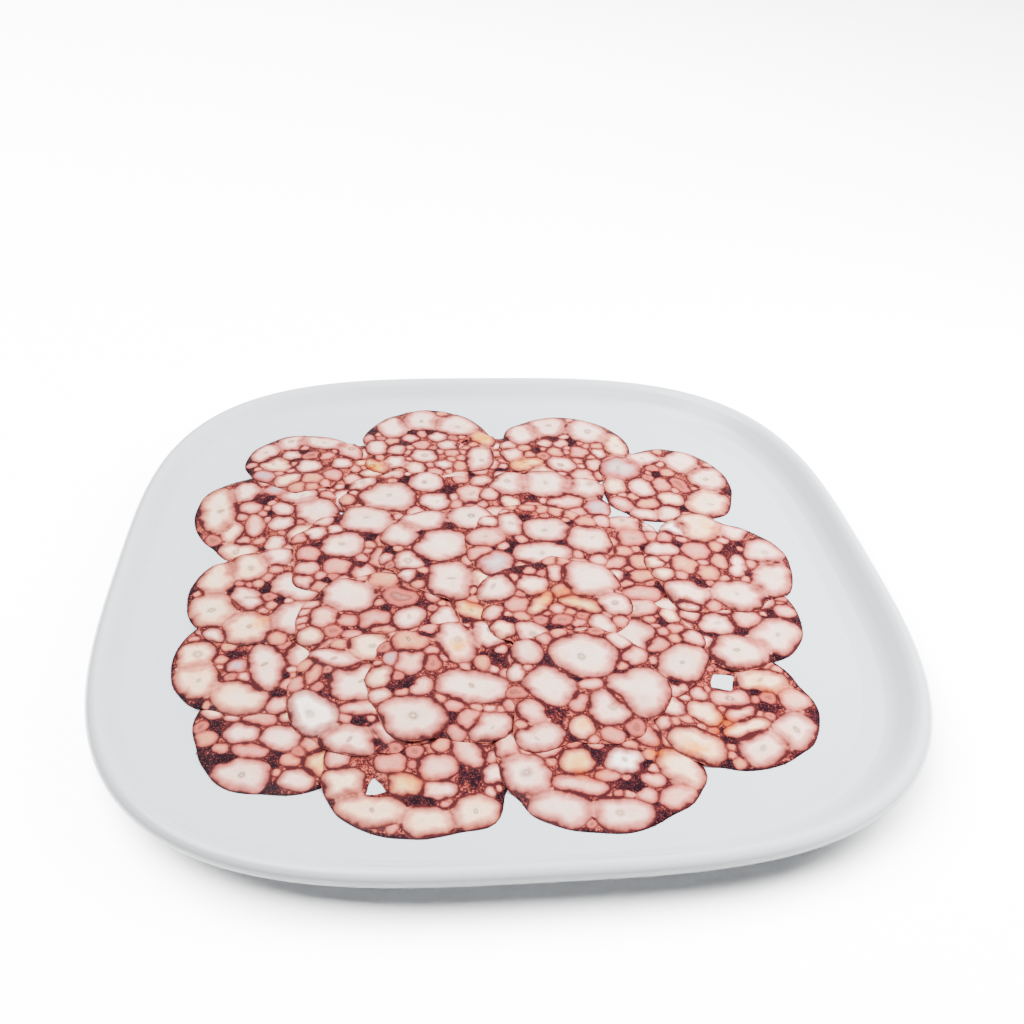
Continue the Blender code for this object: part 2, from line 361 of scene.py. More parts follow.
# the slices, in the order they are laid. A section is where one arm was cut through:
# x, y, half-length, half-width, turn in degrees and its tone, which is "pale" where it isn't given.
# holes are x, y, half-length, half-width, turn and corners. dark and amber are x, y and reach.
# rim is a direction in degrees, its spread and how far the rim is pushed out there.
slices = [
    {
        "sections": [
            (-58, 92, 5, 4, 60, "blush"), (-55, 62, 4, 3, 0, "rose"), (-62, 72, 4, 3.4, 30, "blush"),
            (-57, 86, 4, 3, 0, "amber"),
        ],
        "dark": [(-54, 68, 4), (-64, 66, 3)],
    },
    {
        "sections": [
            (6, 98, 3.5, 3, 0), (-4, 69, 5, 4, 20, "blush"), (5, 92, 3, 2.6, 0, "rose"),
            (2, 62, 4, 3, 0, "rose"),
        ],
        "dark": [(6, 78, 3), (-8, 74, 3)],
    },
    {
        "sections": [
            (-107.5, 63, 7, 5, 80), (-118, 49, 17, 7.5, 97, "cream"), (-111, 33, 6.5, 4.5, 90, "cream"),
            (-77, 47, 9, 8, -45), (-84, 59, 8, 6, -10), (-90.5, 38.5, 5.3, 5, 0),
            (-101.5, 37, 8.5, 3.5, 95, "blush"), (-94, 65, 6, 4.5, 30, "lilac"), (-92, 25, 5, 3.8, 70),
            (-107, 18.5, 7.5, 6, 0, "cream"),
        ],
        "dark": [(-100, 55, 5), (-108, 71, 3), (-127, 47, 3), (-96, 46, 3)],
    },
    {
        "sections": [
            (-91, 104, 7.5, 5.5, 90), (-76, 103, 11, 6, -25), (-102.5, 94, 8, 5.5, 75),
            (-97, 84, 7.5, 6, -40, "cream"), (-82, 81.5, 5.5, 5.5, 0), (-67, 83.5, 4.2, 4, 0),
            (-70.5, 74, 4, 4, 0, "rose"), (-101, 74, 5, 3.5, -30, "lilac"),
            (-74, 90, 3.5, 2.5, 40, "rose"), (-63, 95, 7.5, 5.5, -60, "blush"),
            (-79.5, 70, 4.5, 4, 0, "orange"),
        ],
        "dark": [(-106, 101, 3), (-110, 88, 3), (-108, 80, 3), (-85, 95, 4), (-88, 88, 3)],
    },
    {
        "sections": [
            (-44, 116.5, 10, 6.5, 100), (-29.5, 122.5, 8.5, 8, 90), (-12.5, 117.5, 10.5, 9, -35),
            (-51, 97, 6.5, 4.5, 90), (-42.5, 84, 5.5, 5, 90), (-29, 89.5, 6, 5.8, 0),
            (-30, 100, 4, 4, 0, "rose"), (-18, 98.5, 4.5, 4.5, 0), (-20.5, 81, 4, 3.5, 0),
            (-16, 91, 3.5, 2.8, 0, "rose"), (0, 104, 7.5, 5, -40, "amber"), (-2.5, 84, 12.5, 7, 95),
            (-53, 80.5, 7.5, 5.5, -30, "amber"), (-43, 73, 2.8, 2.5, 0, "rose"),
        ],
        "holes": [(-10, 101, 5, 1.6, 60, 4)],
        "dark": [(-53, 112, 4), (-34, 112, 4), (-26, 112, 4), (-38, 101, 5)],
        "amber": [(0, 104, 7), (-53, 80, 7)],
    },
    {
        "sections": [
            (18.5, 108, 9.5, 7, 80), (32.5, 116, 9.5, 9, 60), (50.5, 111, 11, 9, -60),
            (63.5, 97.5, 9.5, 6, 105, "cream"), (12, 89, 5.5, 5, 0), (33, 92, 4, 3.8, 90, "orange"),
            (44.5, 92, 5, 4.3, 90, "rose"), (34.5, 80.5, 6.5, 6, 0), (18, 81, 8.5, 4.5, 20, "amber"),
            (50, 81, 5, 4, 100, "blush"),
        ],
        "dark": [(10, 103, 4), (33, 104, 4), (41, 103, 3), (24, 92, 5), (43, 100, 3)],
        "amber": [(18, 81, 7)],
    },
    {
        "sections": [
            (92, 82, 9, 7.8, 90), (74, 85.5, 8, 5.5, 10), (101, 68, 9.5, 8.5, 90),
            (97, 47.5, 11, 10, 60, "cream"), (61, 77, 10, 8.5, -20, "lilac"), (69, 61, 7.5, 5.3, 95),
            (78.5, 63.5, 5, 4, 90, "rose"), (87, 63, 7, 3, -65, "deep"), (80.5, 51.5, 5.8, 5, 0, "cream"),
            (69.5, 48.5, 5.5, 4, 0, "orange"), (77, 77, 2.8, 2.6, 0, "deep"),
            (57, 49, 5.5, 5, 0, "blush"), (66, 40, 6, 4.5, 0),
        ],
        "dark": [(78, 73, 5), (88, 92, 3), (108, 57, 3), (85, 43, 4)],
    },
    {
        "sections": [
            (-89, -73.5, 6, 4, -10, "rose"), (-94.5, -81, 5.5, 4.5, 0), (-81, -84, 6.5, 5, -10),
            (-91, -89, 6.5, 2.5, -15, "rose"), (-92.5, -99.5, 9, 6.5, -10), (-75, -102, 5.5, 4, -10),
            (-67.5, -95.5, 5.5, 5, -45, "amber"), (-106, -83, 3.5, 3, 0, "orange"),
        ],
        "holes": [(-60, -98, 4, 2.4, -35, 4)],
        "dark": [(-104, -92, 7), (-98, -92, 4), (-83, -107, 5), (-103, -77, 5), (-83, -92, 4)],
        "amber": [(-68, -95, 5)],
        "rim": [(172, 12, 1.5), (188, 10, -2.5), (262, 22, -2.4)],
    },
    {
        "sections": [
            (-59.6, -104.7, 7.4, 5.6, -5, "cream"), (-51.2, -115.3, 10.8, 6.3, -11, "cream"),
            (-33.5, -121.3, 8, 5.8, -3, "cream"), (-18, -118.5, 8.5, 6.4, -3, "cream"),
            (-30, -99.5, 6, 5.5, 0, "blush"), (-41, -106, 6, 4.5, -20, "amber"),
            (-29.5, -109, 5.5, 3.5, 0), (-45, -97, 5, 4, 0, "rose"), (-19.5, -93, 8, 4, -60, "blush"),
        ],
        "holes": [(-50, -106.2, 5, 4.2, 97, 3)],
        "dark": [
            (-33, -113, 4), (-18, -104, 5), (-60, -111, 3), (-10, -113, 4), (-39, -112, 3), (-46, -92, 4),
        ],
        "amber": [(-40, -106, 6)],
    },
    {
        "sections": [
            (-2, -104, 8.5, 8, 0), (8.5, -118.5, 10, 6.6, -8), (27.5, -121.5, 9.4, 6.2, 0),
            (47, -116, 6.5, 4.5, 10, "blush"), (16, -109.5, 9.5, 3.5, -15, "blush"),
            (16, -99, 6, 5, 0, "amber"), (32, -100, 6.5, 5.5, -10, "white"),
            (51, -104, 9.5, 6.5, -40, "cream"), (41, -89, 5.5, 4, -40, "rose"),
            (25, -106, 4, 2, 0, "rose"), (-7, -91, 6, 4.5, 60, "blush"),
        ],
        "dark": [
            (33, -111, 6), (-7, -114, 4), (40, -124, 4), (38, -102, 4), (23, -97, 4), (28, -91, 5),
            (21, -89, 4),
        ],
        "amber": [(19, -103, 5), (45, -97, 5)],
        "rim": [(330, 16, 1.0), (310, 14, -1.5), (270, 26, -1.8), (0, 30, -2.0), (142, 14, 5.0)],
    },
    {
        "sections": [
            (89, -65, 9.5, 5.5, -5, "cream"), (75, -73, 7, 5, -20, "blush"),
            (98, -75, 5.5, 5, 0, "blush"), (94, -90, 8, 7.5, 30), (80, -96.5, 9.5, 6.5, 25),
            (77, -87.5, 9, 3.5, 20, "cream"), (76.5, -80.5, 6, 3.5, 20, "blush"),
            (64, -80, 6.5, 5, -50, "cream"), (58, -95, 10, 7.5, -30, "cream"),
        ],
        "holes": [(74.5, -64.1, 5.8, 5.2, 28, 4)],
        "dark": [(86, -78, 5), (66, -104, 5), (104, -84, 5), (85, -70, 4), (104, -70, 3), (70, -93, 4)],
        "amber": [(92, -68, 6), (70, -84, 5), (58, -97, 6), (66, -88, 4)],
        "rim": [(15, 10, -2.5), (345, 14, 1.0)],
    },
    {
        "sections": [
            (80, -33.5, 6.5, 6, 0), (92.5, -31, 5.5, 5.5, 0, "blush"), (101.5, -41, 10.5, 9, 30),
            (84, -50, 10.5, 9.5, 0), (55, -33, 5, 4, 10), (65, -34.5, 5, 5, 0), (73, -44, 4, 3.5, 0),
            (98, -20, 8, 6, 0),
        ],
        "dark": [
            (112, -33, 4), (89, -38, 4), (69, -43, 5), (77, -40, 4), (98, -54, 4), (75, -57, 4),
            (59, -41, 5), (103, -28, 4),
        ],
    },
    {
        "sections": [
            (-114.5, -42.5, 7.5, 6.5, 90, "cream"), (-112.5, -55, 9, 7.5, 110, "cream"),
            (-97, -65, 10, 7, -20, "cream"), (-99.5, -49, 4, 3.5, 0, "lilac"), (-89, -50, 13, 6, 100),
            (-71, -45, 12, 8.5, -20), (-76, -58, 3, 2.2, 40, "orange"),
            (-70, -58, 2.6, 1.8, 80, "orange"),
        ],
        "dark": [
            (-103, -42, 4), (-116, -62, 3), (-111, -68, 3), (-82, -55, 3), (-83, -64, 4), (-105, -70, 3),
        ],
    },
    {
        "sections": [
            (-113, 2, 9.5, 6.5, 95, "cream"), (-112.5, -17.5, 10, 8, 110, "cream"),
            (-101, 8, 8, 7, 90, "cream"), (-89.5, 15, 5.5, 5, 0), (-99.5, -11, 8.5, 4.5, 125),
            (-98, -29, 8.5, 8.5, 0, "cream"), (-110, -33, 4.5, 3.5, 0), (-82, -4, 10.5, 7.5, -25),
            (-77.5, -24, 12, 9.5, -5),
        ],
        "dark": [
            (-92, -4, 5), (-121, -5, 3), (-119, -22, 3), (-94, -38, 4), (-88, -13, 4), (-106, -6, 3),
        ],
        "amber": [(-93, -26, 4)],
    },
    {
        "sections": [
            (56, 35, 8, 6, -20, "blush"), (57.5, 23.5, 6, 6, 0, "rose"), (68.5, 15, 5, 4.5, 90, "orange"),
            (66, 24.5, 3.5, 3, 90, "rose"), (66, 31, 4.5, 3.5, 90, "white"), (58, 6, 5, 4.5, 0, "orange"),
            (56.5, -3, 6, 4, 5, "orange"), (47, 6, 6, 3.5, 20, "rose"), (54, -14.5, 7, 4.5, -15, "rose"),
            (67.5, -3, 3.5, 3, 90, "deep"), (52, 14, 3.5, 3, 0, "orange"),
        ],
        "dark": [(62, 17, 3), (62, -10, 4), (51, -2, 3), (63, 10, 3)],
    },
    {
        "sections": [
            (88, 31, 11, 9.5, 100, "cream"), (102, 26, 6, 5.5, 30), (83, 12.5, 6, 6, 0, "rose"),
            (75, 2.5, 6, 5.5, 90, "orange"), (91, 5, 5.5, 3.5, 100, "orange"), (97.5, 1.5, 8.5, 3.5, 75),
            (84, -3, 5, 4.5, 90, "orange"), (112, 11.5, 8.5, 8, 50), (109.5, -7, 11.5, 8, 60),
            (93, -17.5, 10.5, 8.5, -10), (72, -16, 9, 7, -20), (70.5, -24, 5, 4, 0),
            (76, 29.5, 7, 4.2, -45, "white"),
        ],
        "dark": [(98, 14, 6), (115, 23, 4), (103, -22, 4), (80, -11, 4), (76, 17, 4), (101, -5, 3)],
        "amber": [(90, 27, 5)],
    },
    {
        "sections": [
            (-58, 67, 6.3, 6, 90), (-46, 55.5, 12, 10.5, 0), (-29, 66.5, 7.5, 7, 0),
            (-25, 52.5, 6.5, 6, 0), (-13, 70.5, 5.5, 3.5, 80, "rose"), (-9, 57, 6.5, 6, 90, "blush"),
            (-6, 66, 3, 2.5, 0, "rose"), (-64.5, 54, 5, 4, -50, "orange"), (-44, 73, 5, 3.5, 0, "blush"),
        ],
        "dark": [(-38, 68, 4), (-19, 60, 4), (-57, 75, 3), (-35, 75, 4), (-66, 62, 3)],
    },
    {
        "sections": [
            (8, 66, 10.5, 8, 80), (25, 64, 11.5, 10, -30), (45, 62.5, 11.5, 7.5, 25),
            (32.5, 51, 8, 5.5, 10, "blush"), (46, 45.5, 6, 5.5, 90, "lilac"), (-1, 56, 5, 4, 80, "blush"),
        ],
        "dark": [(17, 53, 4), (38, 55, 3), (16, 73, 3), (36, 72, 3), (51, 53, 4), (26, 47, 4)],
    },
    {
        "sections": [
            (-55, 38.5, 11, 9.5, -20), (-64.5, 22, 8.8, 8.3, 0), (-47, 23, 4, 4, 0, "orange"),
            (-48, 12.5, 6, 5, 90, "rose"), (-83, 26.5, 4, 3.5, 0, "rose"), (-75.5, 29.5, 5, 4.5, 0),
            (-68, 31.5, 3, 3, 0), (-78, 15, 4.5, 4.5, 0, "rose"), (-66, 7, 5.5, 5, 0, "rose"),
            (-56, 3.5, 5.5, 5, 90, "blush"), (-73, 38, 4, 3, 30, "blush"), (-78, 6, 4.5, 4, 0, "blush"),
            (-80, -3, 5, 4, 0, "blush"),
        ],
        "dark": [(-53, 26, 5), (-57, 9, 4), (-74, 22, 4), (-66, 40, 3), (-72, 12, 3), (-70, -2, 4)],
    },
    {
        "sections": [(-14, -21.5, 8, 4.5, -35, "amber")],
        "amber": [(-14, -21, 6)],
        "dark": [(-16, -28, 4)],
    },
    {
        "sections": [
            (-61, -12, 10.5, 8.5, -20), (-47, -2, 6.5, 5.5, -30, "orange"),
            (-35.5, -6, 4.8, 4.8, 0, "orange"), (-41, -14.5, 7, 4.5, -15, "deep"),
            (-51, -26, 6, 5, 0, "rose"), (-38, -26, 7, 5, 50), (-48, -32, 5, 2.5, 0, "orange"),
            (-48.5, -38, 4, 4, 0), (-42, -36.5, 3.5, 2.5, 30), (-59, -34.5, 4.5, 2.5, 10, "rose"),
            (-24, -26, 6, 5, 60), (-70, -25, 6, 5, 70, "blush"), (-61, -26, 4, 3, 0, "rose"),
        ],
        "dark": [
            (-54, -33, 3), (-47, -20, 3), (-55, -47, 4), (-33, -18, 4), (-44, -31, 2), (-29, -36, 4),
            (-72, -12, 4),
        ],
    },
    {
        "sections": [
            (-56, -60.5, 10, 8.5, 15), (-72, -74.5, 10, 8, -50, "white"), (-59, -88, 9, 6.5, -10),
            (-54, -73, 8, 4, 0, "blush"), (-72, -57, 5, 2.4, 70, "orange"),
            (-65, -49, 9, 4.5, -20, "pale"),
        ],
        "dark": [
            (-56, -80, 5), (-51, -66, 4), (-48, -52, 5), (-67, -58, 3), (-68, -65, 3), (-50, -89, 3),
            (-43, -62, 5),
        ],
    },
    {
        "sections": [
            (62, -56, 9.5, 8.5, 40), (46, -38.5, 9, 8, -30, "layered"), (50, -24, 9, 4.5, -5, "blush"),
            (54, -44.5, 4.5, 4, 0, "rose"), (44, -53.5, 3.8, 3.5, 0, "rose"),
            (57, -69, 4, 3, 30, "blush"), (63, -37, 3, 2.5, 0, "rose"),
        ],
        "dark": [
            (64, -67, 6), (57, -66, 4), (48, -56, 4), (70, -56, 3), (49, -50, 3), (58, -33, 3),
            (37, -52, 4),
        ],
    },
    {
        "sections": [
            (-30.5, 37, 9.3, 7.8, -10), (-10, 39.5, 9.5, 9, -20), (-41, 25.5, 8.5, 7, -30),
            (-24, 18.5, 12, 9.5, 35), (-37.5, 8, 6.5, 5.5, -60), (-21.5, -4.5, 12.5, 8.5, 85),
        ],
        "dark": [(-20, 33, 4), (-33, 27, 3), (-30, 8, 4), (-45, 15, 3), (-33, -4, 4)],
    },
    {
        "sections": [
            (7, 46, 3, 2.5, 0, "orange"), (15, 45.5, 4, 2.8, 0, "orange"),
            (21, 44.5, 4, 2.6, 90, "orange"), (27, 42, 4, 3.3, -70, "orange"),
            (33, 38.5, 4.2, 3.2, -60, "orange"), (38.5, 33, 4.5, 3.6, -30, "orange"), (6, 32, 8.5, 5, 95),
            (21, 28, 10, 8.5, -10), (38.5, 20, 9.5, 8.5, -20), (17, 12, 12, 6.5, -5),
            (-5, 23.5, 8, 6, 0, "blush"), (-9, 13, 5.5, 4, 30, "rose"), (-2.5, 6, 7.5, 7.5, 0, "lilac"),
        ],
        "dark": [(6, 18, 4), (4, 14, 3), (12, 37, 3), (26, 18, 3), (30, 31, 3)],
    },
    {
        "sections": [
            (-21, -41, 11, 6.5, 100), (-8.5, -34.5, 9.5, 5.5, 100), (-16, -64, 13.5, 8, -5),
            (-38, -79, 11.5, 10.5, 0), (-11, -84, 8, 7, 0), (-38, -41.5, 6.5, 5.5, -20, "orange"),
            (-38, -52, 5.5, 5.5, 0, "blush"), (-44.5, -50, 2.8, 2.8, 0, "lilac"),
            (-30, -53, 3.4, 3, 60, "deep"), (-18, -80, 4, 5, 0, "rose"), (-34, -64, 5, 3.4, 60, "blush"),
            (-3, -57, 3, 2.2, 0, "rose"),
        ],
        "dark": [
            (-6, -50, 6), (-27, -88, 5), (-33, -90, 4), (-42, -63, 5), (-33, -38, 4), (-38, -62, 3),
            (-24, -78, 3),
        ],
        "amber": [(-20, -44, 5)],
    },
    {
        "sections": [
            (35, -5.5, 11.5, 11, 0), (11, -9, 6, 5.5, -10), (21, -2, 5, 3, 90, "blush"),
            (4, -20, 4.5, 4.3, 0, "rose"), (13, -20, 8, 3.5, 55, "amber"),
            (22, -13, 3.5, 3.5, 0, "orange"), (28.5, -21.5, 9, 3.5, -30, "amber"), (8, -37, 7.5, 5, -50),
            (35, -33, 6, 4, -60), (29, -38.5, 5, 3, -35), (-4, -10.5, 7.5, 7, 0),
            (20, -30, 4, 3, 20, "deep"), (19, -38, 3.5, 2.6, 60, "rose"),
        ],
        "dark": [(6, 2, 7), (45, -6, 3), (18, -34, 5), (26, -1, 2), (14, 3, 4), (0, -29, 4), (-4, -1, 4)],
        "amber": [(15, -17, 5), (28, -21, 6), (22, -12, 4)],
    },
    {
        "sections": [
            (25.5, -50.5, 12.5, 10.5, -10), (43, -70, 11.5, 11, 0), (31, -77, 8, 7.5, 0),
            (11.5, -65, 10, 8.5, -60), (3.5, -77.5, 5, 5, 0, "blush"), (20.5, -74, 4, 3, 45, "rose"),
            (26, -65.5, 4, 2.5, 5, "blush"), (4, -90, 9.5, 5.5, 25), (4, -47, 7, 5.5, -60, "layered"),
            (20, -85, 5, 4, 80, "cream"),
        ],
        "dark": [
            (12, -53, 3), (20, -61, 3), (10, -78, 4), (16, -92, 4), (38, -60, 3), (-3, -53, 4),
            (14, -71, 2),
        ],
        "amber": [(22, -83, 4)],
        "rim": [(226, 17, 7.5)],
    },
]


flesh = {
    "thickness": 0.95,
    "air": 0.06,  # left under each slice
    "mapSpacing": 1.0,
    "drapeRounds": 70,
    "cling": 4.0,  # how far in from its rim a slice clings to what lies under it
    "directions": 72,  # rays that measure a section's outline
    "squareness": 2.3,
    "swell": (0.5, 0.1, 1.3),  # how far a section presses into free room: least, share of its size, most
    "skin": 0.34,  # half the jelly seam between two sections
    "rimSkin": 0.48,  # skin outside the outermost sections
    "rimBulge": 5.0,  # how far the sections push the rim out
    "rimDraw": (-0.8, -3.6),  # how far they draw it in: over the bare plate, over other slices
    "blush": (0.95, 1.4, 0.32, 5.0),  # its width: share of a small section, base and share of a large, most
    "outlineSpacing": 0.85,
    "rings": ((0.4, 0.95), (1.0, 1.3)),  # inset, spacing
    "cutSpacing": 1.35,
    "jellySpacing": 0.85,
    "undersideSpacing": 5.0,
    "dome": 0.1,
    "valley": 0.14,
    "rimTaper": (0.08, 3.4),  # thickness at the rim, and how far in it reaches its full value
    "fillers": (1.5, 8.0),  # least and most half-length of the sections that fill what is left open
    "fillerSpots": 2600,
    "leftOpen": 0.35,  # share of the small open places that stay jelly
    "fillerRim": 3.2,  # no filling section has its middle nearer the rim
    "smallTones": ("rose", "orange", "rose", "blush", "deep", "orange"),
    "largeTones": ("pale", "blush", "cream"),
    "nerve": (5.8, 0.7),  # least size of a section that shows one, and the share that do
    "arch": (0.5, 4.8),  # how far out and how large a section is to have little skin towards the next one
    "dark": (0.24, 0.26, 4.5),  # how dark the jelly is, how much that varies, and over what length
    "darkClump": 0.6,  # what a clump of skin adds to it
    "darkRim": (1.0, -0.4),  # and what a rim adds over the bare plate, less what it loses elsewhere
}

# colours of the sections' flesh
tones = {
    "pale": "#e9c0b3",
    "white": "#f6ede6",
    "cream": "#efc7a6",
    "blush": "#d8a092",
    "rose": "#c08073",
    "orange": "#c08262",
    "deep": "#8a4a42",
    "lilac": "#a98d95",
    "amber": "#dcb67c",
    "layered": "#dcb1a5",
}
angles = np.arange(flesh["directions"]) * math.tau / flesh["directions"]
rays = np.column_stack((np.cos(angles), np.sin(angles)))


# how far out each point lies in each section, 1 on the section's own ellipse
def sectionNorm(points, sections):
    turn = np.radians(sections[:, 4])
    away = points[:, None, :] - sections[None, :, :2]
    along = (away[..., 0] * np.cos(turn) + away[..., 1] * np.sin(turn)) / sections[:, 2]
    across = (away[..., 1] * np.cos(turn) - away[..., 0] * np.sin(turn)) / sections[:, 3]
    power = flesh["squareness"]
    return (np.abs(along) ** power + np.abs(across) ** power) ** (1 / power)


# value of a table of directions at any angle, read between its entries
def readTurn(table, turn):
    place = (turn / math.tau * flesh["directions"]) % flesh["directions"]
    low = np.floor(place).astype(int) % flesh["directions"]
    part = place - np.floor(place)
    high = (low + 1) % flesh["directions"]
    if table.ndim == 1:
        return table[low] * (1 - part) + table[high] * part
    rows = np.arange(len(table))
    return table[rows, low] * (1 - part) + table[rows, high] * part


def soften(table, rounds):
    for _ in range(rounds):
        table = (np.roll(table, 1, -1) + 2 * table + np.roll(table, -1, -1)) / 4
    return table


# how far outside its ellipse each point lies, in millimetres
def outsideBy(points, sections):
    away = np.hypot(*np.moveaxis(points[:, None, :] - sections[None, :, :2], 2, 0))
    return away * (1 - 1 / np.maximum(sectionNorm(points, sections), 0.01))


# the slice's rim: its reach from the centre in each direction, scalloped by its outer sections
def rimTable(spec, node, sections, rng):
    low, high = (np.array(corner[:2]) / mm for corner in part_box(node))
    centre, half = (low + high) / 2, (high - low) / 2
    reach = half[0] * half[1] / np.hypot(half[1] * rays[:, 0], half[0] * rays[:, 1])
    for waves in (3, 5, 8):
        reach = reach + 1.2 / waves * np.sin(waves * angles + rng.uniform(0, math.tau))
    for turn, width, push in spec.get("rim", ()):
        off = (np.degrees(angles) - turn + 180) % 360 - 180
        reach = reach + push * np.exp(-((off / width) ** 2))
    steps = np.arange(0, flesh["rimBulge"], 0.4)
    spots = centre + rays[:, None] * (reach[:, None] + steps)[..., None]
    within = (sectionNorm(spots.reshape(-1, 2), sections) < 1).any(axis=1).reshape(len(angles), -1)
    return centre, soften(reach + np.where(within, steps + flesh["rimSkin"], 0).max(axis=1), 2)


# draws the rim in or out to lie just outside the sections
def hugSections(cut):
    overPlate, overFood = flesh["rimDraw"]
    low = overPlate * cut["bare"] + overFood * (1 - cut["bare"])
    steps = np.arange(overFood, flesh["rimBulge"], 0.3)
    spots = cut["centre"] + rays[:, None] * (cut["rim"][:, None] + steps)[..., None]
    within = (depths(spots.reshape(-1, 2), cut).max(axis=1) > -flesh["rimSkin"]).reshape(len(angles), -1)
    return soften(cut["rim"] + np.maximum(np.where(within, steps, steps[0]).max(axis=1) + 0.15, low), 1)


# 1 in the directions where the slice ends over the bare plate, 0 where over other slices
def bareTable(cut):
    beyond = cut["centre"] + rays * (cut["rim"] + 4)[:, None]
    column, row = np.clip(np.round(beyond + reachOfMap), 0, 2 * reachOfMap).astype(int).T
    return soften((ground[row, column] - bareGround[row, column] < 0.3).astype(float), 4)


def rimDepth(points, cut):
    away = points - cut["centre"]
    return readTurn(cut["rim"], np.arctan2(away[:, 1], away[:, 0])) - np.hypot(away[:, 0], away[:, 1])


# fills what the named sections leave free: always the roomiest spot first
def addFillers(sections, toneNames, holes, cut, rng):
    known = np.array(sections + holes, float).reshape(-1, 5)
    least, most = flesh["fillers"]
    turn = rng.uniform(0, math.tau, flesh["fillerSpots"])
    out = np.sqrt(rng.uniform(0, 1, flesh["fillerSpots"]))
    spots = cut["centre"] + (out * cut["half"])[:, None] * np.column_stack((np.cos(turn), np.sin(turn)))
    room = np.minimum(outsideBy(spots, known).min(axis=1), rimDepth(spots, cut) - 0.2)
    for x, y, reach in cut["dark"]:
        room = np.minimum(room, np.hypot(spots[:, 0] - x, spots[:, 1] - y) - 0.35 * reach)
    room[rimDepth(spots, cut) < flesh["fillerRim"]] = 0
    while room.max() > least:
        best = int(room.argmax())
        if room[best] < 3.2 and rng.uniform() < flesh["leftOpen"]:
            room[np.hypot(*(spots - spots[best]).T) < 1.3 * room[best]] = 0
            continue
        length = min(most, room[best]) * rng.uniform(0.78, 1.08)
        new = (*spots[best], length, length * rng.uniform(0.66, 0.96), rng.uniform(0, 180))
        sections.append(new)
        choices = flesh["smallTones"] if length < 4 else flesh["largeTones"]
        toneNames.append(choices[rng.integers(len(choices))])
        room = np.minimum(room, outsideBy(spots, np.array([new]))[:, 0])


# lets every section press against its neighbours: its reach in each direction
def growSections(known, count, cut, rng):
    clumps = np.array([(x, y, 0.35 * reach, 0.35 * reach, 0) for x, y, reach in cut["dark"]]).reshape(-1, 5)
    known = np.vstack((known, clumps))
    least, share, most = flesh["swell"]
    reach = np.zeros((count, len(angles)))
    for i in range(count):
        own = 1 / sectionNorm(known[i, :2] + rays, known[i : i + 1])[:, 0]
        limit = min(most, least + share * math.sqrt(known[i, 2] * known[i, 3]))
        inward = own[:, None] * np.linspace(-0.75, -0.05, 12)
        outward = np.broadcast_to(np.linspace(0, limit, 12), inward.shape)
        over = np.concatenate((inward, outward), axis=1)
        flat = (known[i, :2] + rays[:, None] * (own[:, None] + over)[..., None]).reshape(-1, 2)
        gap = np.hypot(*(known[:, :2] - known[i, :2]).T)
        near = gap < known[:, 2:4].max(axis=1) + known[i, 2:4].max() + 2 * most
        near[i] = False
        free = rimDepth(flat, cut) > flesh["rimSkin"]
        if near.any():
            free &= over.ravel() < outsideBy(flat, known[near]).min(axis=1)
        run = np.cumprod(free.reshape(over.shape), axis=1).sum(axis=1)
        reach[i] = own + over[np.arange(len(angles)), np.maximum(run, 1) - 1]
        slow = 0.03 * np.sin(3 * angles + rng.uniform(0, 6))
        quick = 0.018 * np.sin(5 * angles + rng.uniform(0, 6))
        reach[i] *= 1 + (slow + quick)
    return np.maximum(soften(reach, 3) - flesh["skin"], 0.45)


# evenly spaced points round a closed outline
def evenLoop(centre, reach, spacing, least=8):
    dense = centre + rays * reach[:, None]
    closed = np.vstack((dense, dense[:1]))
    length = np.concatenate(([0], np.cumsum(np.hypot(*np.diff(closed, axis=0).T))))
    count = max(least, round(length[-1] / spacing))
    marks = np.arange(count) / count * length[-1]
    return np.column_stack([np.interp(marks, length, closed[:, axis]) for axis in (0, 1)])


# signed depth of each point in each section, positive inside
def depths(points, cut):
    away = points[:, None, :] - cut["centres"][None]
    turn = np.arctan2(away[..., 1], away[..., 0])
    within = readTurn(cut["reach"], turn) - np.hypot(away[..., 0], away[..., 1])
    return within * readTurn(cut["lean"], turn)


